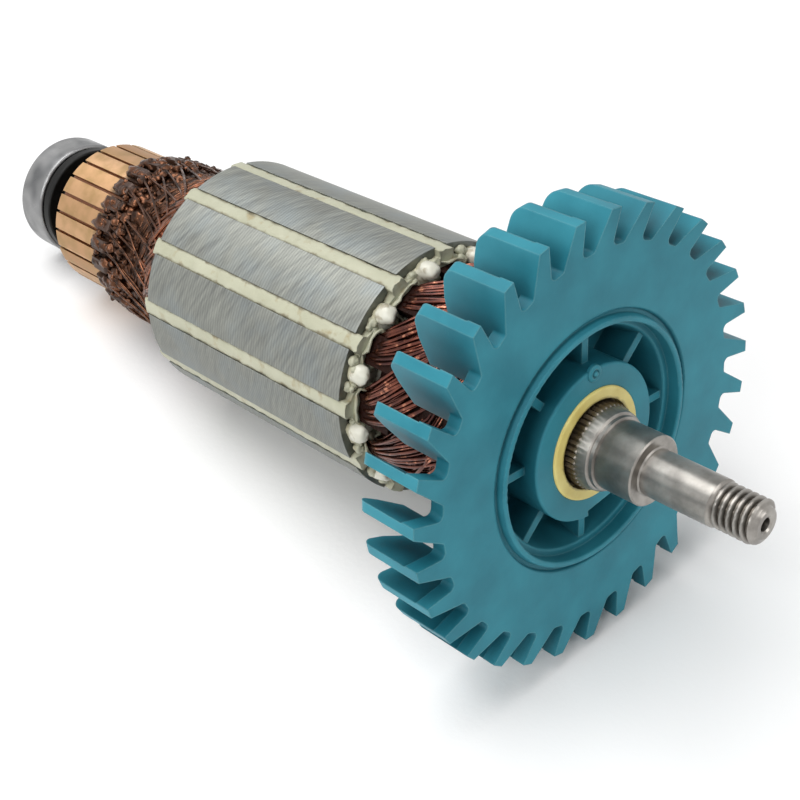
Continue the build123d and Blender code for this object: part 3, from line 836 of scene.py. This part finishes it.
def over_head(coil, angle, aside, lean, reach, outline, seed):
    """Path of one wire over a coil head, from the slot at an angle to the head's end."""
    path = []
    for i in range(path_steps + 1):
        u = i / path_steps
        climb = min(1.0, u / climb_share)
        chord = max(0.0, (u - chord_start) / (1 - chord_start))
        out = reach * climb ** 0.85 + path_stray * wobble(seed + 31, 2 * u)
        radius = read_off(outline, out)
        radius += (coil["waist"] - radius) * chord ** 1.3 + radius_stray * wobble(seed, 2 * u)
        turn = lean * climb ** 1.4 + math.copysign(chord_turn, lean) * chord
        turn += turn_stray * wobble(seed + 57, u)
        flare = aside * min(1.5, 0.75 + 0.09 * out)
        path.append(polar(coil["face"] + coil["way"] * out, radius, angle + flare + turn))
    return path


# %% [markdown]
# Both heads are wound alike: three layers of eleven wires a slot. What differs is one short list
# for each end: how far a bundle leans, how its wires spread, how far the head reaches, and its
# outline as (distance from the core, radius).

# %% Winding: all bundles of one end
wires_across = 11
wires_deep = 3
wire_pitch = 1.6


def wind(coil, points, faces):
    """Adds all wires of one coil head, with small errors as a winding machine makes them."""
    for number, angle in enumerate(slot_angles):
        for deep in range(wires_deep):
            for k in range(wires_across):
                from_middle = k - (wires_across - 1) / 2
                aside = from_middle * (wire_pitch - 0.15 * deep) + dice.uniform(-0.4, 0.4)
                lean = coil["leans"][number] + coil["fan_out"] * (k - wires_across / 2)
                lean += dice.uniform(-coil["stray"], coil["stray"]) + coil["layer_lean"] * deep
                reach = coil["reach"] + dice.uniform(*coil["reach_stray"]) - 0.9 * deep
                lower = coil["layer_sink"] * deep + dice.uniform(0, 0.25)
                outline = [(out, radius - lower) for out, radius in coil["outline"]]
                seed = coil["seed"] + number * 40 + deep * wires_across + k
                path = over_head(coil, angle, aside, lean, reach, outline, seed)
                tube(path, wire_radius, points, faces)


# %% Winding at the fan end
front_coil = {
    "face": core_end - 0.2, "way": 1, "waist": 8.5, "seed": 0,
    "leans": [-34, -46, -28, -52, -40, -48, -44, -18, -36, -50, -30, -42],
    "fan_out": 1.6, "stray": 3, "layer_lean": -7,
    "reach": 15.2, "reach_stray": (-1.2, 1.6), "layer_sink": 0.45,
    "outline": [
        (0.0, 14.3), (1.6, 14.8), (3.4, 15.3), (7.5, 15.4), (11.0, 15.0), (14.5, 14.2), (17.5, 12.6),
    ],
}
points, faces = [], []
wind(front_coil, points, faces)
settle("front_coil_wires", points, faces, enamel)

# %% [markdown]
# Resin and varnish dry in uneven beads. One helper makes a bead: a round of points whose distance
# from the middle a noise changes. It serves both ends of the armature.

# %% Beads
bead_rows = 12
bead_columns = 16


def lump(x, radius, angle, size, seed, points, faces, uneven=0.4):
    """Adds a round bead. size is its half length, half width and half height."""
    first = len(points)
    for i in range(bead_rows + 1):
        for j in range(bead_columns):
            a = math.pi * i / bead_rows
            b = math.tau * j / bead_columns
            shape = Vector((math.cos(a), math.sin(a) * math.cos(b), math.sin(a) * math.sin(b)))
            swell = 1 + uneven * noise.noise(shape * 1.7 + Vector((seed * 3.7, seed, 0)))
            forward = shape.x * size[0] * swell
            sideways = math.degrees(shape.y * size[1] * swell / radius)
            height = shape.z * size[2] * swell
            points.append(polar(x + forward, radius + height, angle + sideways))
    skin_over(first, bead_rows, bead_columns, faces)


# %% [markdown]
# Strip and paper are sheets cut by hand and soaked in resin, so no edge of them is straight. Both are
# made the same way: a section of a few points (radius, distance from the slot's middle) is carried
# along the shaft, and noise moves each point a little. At both ends noise also moves the cut.

# %% A ragged section along a slot


def along_slots(section, ends, rows, torn, uneven, flare, points, faces):
    """Carries a closed section through every slot. torn moves the ends, uneven the sides, in mm."""
    start_x, end_x = ends
    for number, angle in enumerate(slot_angles):
        first = len(points)
        for row in range(rows + 1):
            u = row / rows
            for k, (radius, across_slot) in enumerate(section):
                cut = torn * noise.noise(Vector((number * 5.3, k * 0.83, 2)))
                cut *= 1 if u > 0.5 else -0.4
                x = start_x + (end_x - start_x) * u + cut * abs(2 * u - 1) ** 12
                spot = Vector((x * 0.7, k * 0.6, number * 3.1))
                out = uneven * noise.noise(spot) + flare * u ** 60
                side = across_slot + uneven * noise.noise(spot + Vector((0, 0, 50)))
                side += math.copysign(flare, across_slot) * u ** 60
                points.append(polar(x, radius + out, angle + math.degrees(side / radius)))
        skin_over(first, rows, len(section), faces)


# %% Strips that close the slots
strip_section = [
    (15.15, -2.2), (15.85, -2.35), (16.35, -1.18), (17.22, -1.18), (17.34, -0.95), (17.38, -0.4),
    (17.38, 0.4), (17.34, 0.95), (17.22, 1.18), (16.35, 1.18), (15.85, 2.35), (15.15, 2.2),
    (15.1, 0.8), (15.1, -0.8),
]
strip_ends = (core_start - 0.9, core_end + 1.2)
strip_rows = 120
points, faces = [], []
along_slots(strip_section, strip_ends, strip_rows, 0.7, 0.16, 0.0, points, faces)
corners = len(strip_section)
per_slot = corners * (strip_rows + 1)
for first in range(0, slot_count * per_slot, per_slot):
    last = first + per_slot - corners
    faces.append(tuple(range(first + corners - 1, first - 1, -1)))
    faces.append(tuple(range(last, last + corners)))
strips = settle("slot_strips", points, faces, strip, sharp=50)
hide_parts(*[name for name in nodes if name.startswith("slot_wedge")])

# %% [markdown]
# The paper is folded round the coil in its slot. It is made as its middle surface, and a modifier
# gives it the real thickness. At the fan end it stands out of the core and flares.

# %% Papers that line the slots
paper_section = [
    (10.2, -0.8), (12.4, -1.5), (13.4, -1.75), (14.4, -2.02), (15.1, -2.2), (15.35, -1.5),
    (15.4, -0.7), (15.4, 0.0), (15.4, 0.7), (15.35, 1.5), (15.1, 2.2), (14.4, 2.02),
    (13.4, 1.75), (12.4, 1.5), (10.2, 0.8), (10.0, 0.0),
]
paper_ends = (core_start - 1.0, core_end + 1.7)
paper_rows = 60
paper_thickness = 0.3
points, faces = [], []
along_slots(paper_section, paper_ends, paper_rows, 1.3, 0.1, 0.45, points, faces)
papers = settle("slot_papers", points, faces, strip)
thicken = papers.modifiers.new("paper thickness", "SOLIDIFY")
thicken.thickness = paper_thickness * mm
thicken.offset = 0.0
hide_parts("slot_liners")

# %% [markdown]
# On each tooth the moulded star ends in a rounded nose, which holds the coil away from the steel. A
# nose is a nearly smooth bead, with a flat pad of the star behind it. A plain ring carries them all.

# %% Noses of the front insulator
star_bore = 7.6
star_rim = 12.2
star_front = core_end + 1.4
star_rings = [
    (core_end, star_bore), (core_end, star_rim), (star_front, star_rim), (star_front, star_bore),
]
pad_size = (1.0, 2.4, 2.3)
nose_size = (1.75, 1.4, 1.12)
points, faces = lathe(star_rings, 72)
for number, angle in enumerate(slot_angles):
    tooth = angle + slot_step / 2
    lump(91.8, 14.2, tooth, pad_size, number + 60, points, faces, uneven=0.2)
    lump(92.8, 15.9, tooth - 2, nose_size, number + 80, points, faces, uneven=0.22)
noses = settle("front_noses", points, faces, white_nylon)
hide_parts("front_end_insulator")

# %% Beads of resin round the slots
beads_a_slot = 13
points, faces = [], []
for number, angle in enumerate(slot_angles):
    for k in range(beads_a_slot):
        side = 1 if k % 2 else -1
        size = dice.uniform(0.35, 0.8)
        x = core_end + 0.3 + dice.uniform(-0.1, 0.9)
        radius = dice.uniform(13.2, 16.6)
        aside = side * dice.uniform(8.0, 11.5)
        bead = (size, size * 1.2, size)
        lump(x, radius, angle + aside, bead, number * 20 + k, points, faces)
settle("resin_beads", points, faces, strip)

# %% [markdown]
# At the commutator end the bundles lean the other way and the head is short: it falls to a waist
# within ten millimetres of the core. Its dark heart is one turned body with a low wave for each
# bundle, twisted as the bundles lean, and it takes the place of the solid coil head.

# %% Heart of the winding at the commutator end
rear_lean = 44
head_length = 11
heart_wave = 0.3
heart_steps = 144
heart_sizes = [
    (49.3, 7.6), (49.3, 13.4), (48.2, 13.9), (46.4, 13.7), (44.4, 13.1), (42.0, 12.3), (39.0, 11.8),
    (36.0, 11.6), (31.3, 11.4), (31.3, 7.6),
]


def heart_ring(x, radius):
    """Radius round one section of the heart, as a function of the angle."""
    crest = slot_angles[0] - rear_lean * (core_start - x) / head_length
    return lambda angle: radius + heart_wave * math.cos(math.radians(angle - crest) * slot_count)


heart_rings = [(x, heart_ring(x, radius) if radius > 12 else radius) for x, radius in heart_sizes]
points, faces = lathe(heart_rings, heart_steps)
# The heart wears the painted shade of the winding's mass.
heart = settle("rear_winding_heart", points, faces, depths)
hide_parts("rear_coil_head")

# %% Winding at the commutator end
rear_coil = {
    "face": core_start - 0.3, "way": -1, "waist": 11.4, "seed": 600,
    "leans": [rear_lean] * slot_count, "fan_out": 2.2, "stray": 7, "layer_lean": 9,
    "reach": 11.0, "reach_stray": (-2.0, 1.6), "layer_sink": 0.35,
    "outline": [
        (0.0, 14.5), (1.2, 14.9), (3.0, 14.8), (5.0, 14.1), (7.5, 13.2), (10.5, 12.5), (13.0, 11.9),
    ],
}
points, faces = [], []
wind(rear_coil, points, faces)

# %% [markdown]
# From the head two ends of wire run to each hook. They lie over the bundles, cross the waist at a
# slant and sink to the bars' radius.

# %% Leads to the hooks
lead_start = core_start - 2.5
lead_end = 29.0
lead_low = 12.65
lead_rise = 1.7
lead_top = 14.9
lead_steps = 26
for number in range(2 * bar_count):
    angle = bar_angles[number // 2] + (1.4 if number % 2 else -1.4)
    turn = dice.uniform(15, 50)
    lift = dice.uniform(-0.3, 0.3)
    path = []
    for i in range(lead_steps + 1):
        u = i / lead_steps
        x = lead_start - (lead_start - lead_end) * u
        radius = lead_low + lead_rise * (1 - u) ** 2 + lift * math.sin(math.pi * u)
        radius += 0.25 * wobble(number + 900, 2 * u)
        path.append(polar(x, min(radius, lead_top), angle + turn * (1 - u) ** 1.3))
    tube(path, wire_radius * 0.85, points, faces)
settle("rear_coil_wires", points, faces, varnished)

# %% [markdown]
# Each hook was closed over its wires and fused. Varnish gathered round the hooks and on the leads
# behind them: an uneven skin from one noise, with lumps on it in rows and small beads between.

# %% Skin of varnish behind the hooks
skin_start = 30.6
skin_length = 8.2
skin_radius = 12.2
skin_rows = 34
skin_steps = 288


def skin_ring(x):
    """Radius round one section of the varnish, as a function of the angle."""
    def radius(angle):
        place = polar(x, 12.0, angle)
        coarse = noise.noise(place * 0.45)
        fine = noise.noise(place * 1.3 + Vector((9, 0, 0)))
        over_hooks = math.cos(math.radians(angle - bar_angles[0]) * bar_count)
        return skin_radius + 0.55 * coarse + 0.45 * fine + 0.25 * over_hooks
    return radius


skin_rings = [(30.4, 11.2)]
for i in range(skin_rows + 1):
    x = skin_start + skin_length * i / skin_rows
    skin_rings.append((x, skin_ring(x)))
skin_rings.append((39.2, 11.6))
points, faces = lathe(skin_rings, skin_steps)

# %% Lumps over the hooks, and small beads
# A row of lumps: station, radius, stray in degrees, half length and half width.
lump_rows = [
    (28.4, 12.2, 0.8, 1.9, 1.25),
    (30.2, 12.35, 3.0, 1.2, 0.9),
    (31.9, 12.35, 6.0, 1.1, 0.9),
    (33.6, 12.3, 7.0, 1.0, 0.9),
]
lump_height = 0.85
small_beads = 7
for number, angle in enumerate(bar_angles):
    for x, radius, stray, length, width in lump_rows:
        scale = dice.uniform(0.8, 1.08)
        size = (length * scale, width * scale, lump_height * scale)
        place = x + dice.uniform(-0.4, 0.4)
        strayed = angle + dice.uniform(-stray, stray)
        lump(place, radius, strayed, size, number + 30 * x, points, faces)
    for k in range(small_beads):
        size = dice.uniform(0.28, 0.55)
        x = dice.uniform(26.9, 36.5)
        radius = 12.55 + dice.uniform(-0.2, 0.2)
        strayed = angle + dice.uniform(-7, 7)
        lump(x, radius, strayed, (size, size, size), number + k, points, faces)
settle("hook_varnish", points, faces, varnished)

# %% [markdown]
# The table is a sheet of matt white paper, which scatters all light and reflects nothing sharply.
# Its fibres are drawn nearly a millimetre wide, coarser than they are, and barely raised.

# %% Table
fibre_width = 0.8
bpy.ops.mesh.primitive_plane_add(size=6)
table = bpy.context.object
table.name = "table"
paper = Finish("matt_white_paper", "#fdfdfd", metallic=0.0, roughness=0.9)
fibres = paper.add("TexNoise", {"Vector": paper.place, "Scale": 1 / fibre_width, "Detail": 3.0})
paper.relief(fibres, depth=0.02)
table.data.materials.append(paper.material)

# %% [markdown]
# A lamp close to the table leaves its far end grey. There the table fades into plain white, which
# only the camera and the mirrors see. Near the armature it stays paper, so the shadow is a real one.
# The same three kinds of ray see plain white behind the table.

# %% The table fades to white
paper_end = 0.16
white_start = 0.34


def white_rays(tree):
    """A value of 1 for the camera's rays and for reflected and transmitted ones, or else 0."""
    rays = tree.add("LightPath").outputs
    seeing = rays["Is Camera Ray"]
    for name in ("Is Glossy Ray", "Is Transmission Ray"):
        seeing = tree.add("Math", {0: seeing, 1: rays[name]}, operation="MAXIMUM")
    return seeing


seen = paper.add("TexCoord").outputs["Object"]
distance = paper.add("VectorMath", {0: seen}, operation="LENGTH")
far_off = paper.add("MapRange", {
    "Value": distance, "From Min": paper_end, "From Max": white_start,
})
whiten = paper.add("Math", {0: far_off, 1: white_rays(paper)}, operation="MULTIPLY")
white = paper.add("Emission", {"Color": linear("#ffffff")})
faded = paper.add("MixShader", {0: whiten, 1: paper.shader, 2: white})
paper.feed(paper.tree.nodes["Material Output"], {"Surface": faded})

# %% [markdown]
# Plain soft studio light: one wide lamp high above, a little to the left and behind, one at the
# camera's left, and a weak one from the right. They light the object so that a colour renders about
# as it is written.

# %% Lamps
armature_middle = bench @ Vector((70, 0, 0))


def softbox(name, azimuth, elevation, distance, size, power):
    """Square lamp that looks at the middle of the armature."""
    lamp = bpy.data.lights.new(name, "AREA")
    lamp.size = size
    lamp.energy = power
    lamp_object = bpy.data.objects.new(name, lamp)
    bpy.context.collection.objects.link(lamp_object)
    way = outward(azimuth, elevation)
    lamp_object.location = armature_middle + way * distance
    lamp_object.rotation_mode = "QUATERNION"
    lamp_object.rotation_quaternion = way.to_track_quat("Z", "Y")


softbox("top light", -60, 70, distance=0.9, size=0.8, power=8)
softbox("left light", 10, 35, distance=0.9, size=0.5, power=3.5)
softbox("right light", 110, 30, distance=1.0, size=0.5, power=2.5)
print(len(bpy.data.lights), "lamps")

# %% [markdown]
# The room fills the shadows a little: its light is dim, so deep hollows stay dark. The camera and
# the metals see white in its place, at a strength of 1.

# %% Room
room_strength = 0.16
world = bpy.data.worlds.new("studio")
bpy.context.scene.world = world
world.use_nodes = True
studio = Nodes(world.node_tree)
room = studio.tree.nodes["Background"]
studio.feed(room, {"Color": linear("#ffffff"), "Strength": room_strength})
backdrop = studio.add("Background", {"Color": linear("#ffffff")})
either = studio.add("MixShader", {0: white_rays(studio), 1: room, 2: backdrop})
studio.feed(studio.tree.nodes["World Output"], {"Surface": either})
bpy.context.scene.view_settings.view_transform = "Standard"
